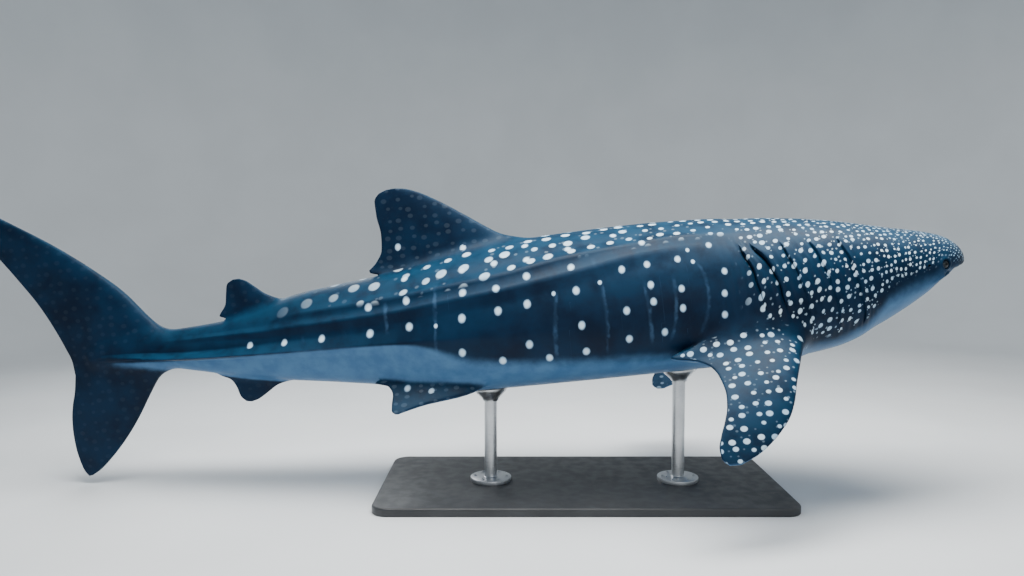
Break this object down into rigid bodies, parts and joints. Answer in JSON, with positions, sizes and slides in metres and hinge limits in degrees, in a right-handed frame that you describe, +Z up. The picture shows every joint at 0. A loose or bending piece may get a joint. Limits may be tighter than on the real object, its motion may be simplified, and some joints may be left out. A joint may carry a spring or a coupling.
{
  "type": "whale shark display model on a stand",
  "caption": "Life-size whale shark as it swims, head, gills, trunk, tail and each fin in its own piece, held above the floor by a flat stand with rods.",
  "frame": {"origin": "middle of the stand base's underside, on the floor", "axes": "+X towards the head, +Z up, right flank towards -Y"},
  "size_m": [6.4251, 2.0886, 1.9014],
  "materials": {
    "skin": "wet-looking dark blue-grey shark skin with pale spots and bars, pale belly",
    "eye": "glossy black eye with a dark iris",
    "stand_base": "satin charcoal paint",
    "stand_metal": "brushed stainless steel"
  },
  "bodies": {
    "root": {"head": "skin", "gill_region": "skin", "trunk": "skin", "tail_stalk": "skin", "first_dorsal_fin": "skin", "second_dorsal_fin": "skin", "anal_fin": "skin", "caudal_upper_lobe": "skin", "caudal_lower_lobe": "skin", "pectoral_fin_right": "skin", "pectoral_fin_left": "skin", "pelvic_fin_right": "skin", "pelvic_fin_left": "skin", "eye_right": "eye", "eye_left": "eye", "stand_base": "stand_base", "stand_foot_front": "stand_metal", "stand_foot_rear": "stand_metal", "stand_rod_front": "stand_metal", "stand_rod_rear": "stand_metal", "stand_saddle_front": "stand_metal", "stand_saddle_rear": "stand_metal"}
  },
  "joints": []
}
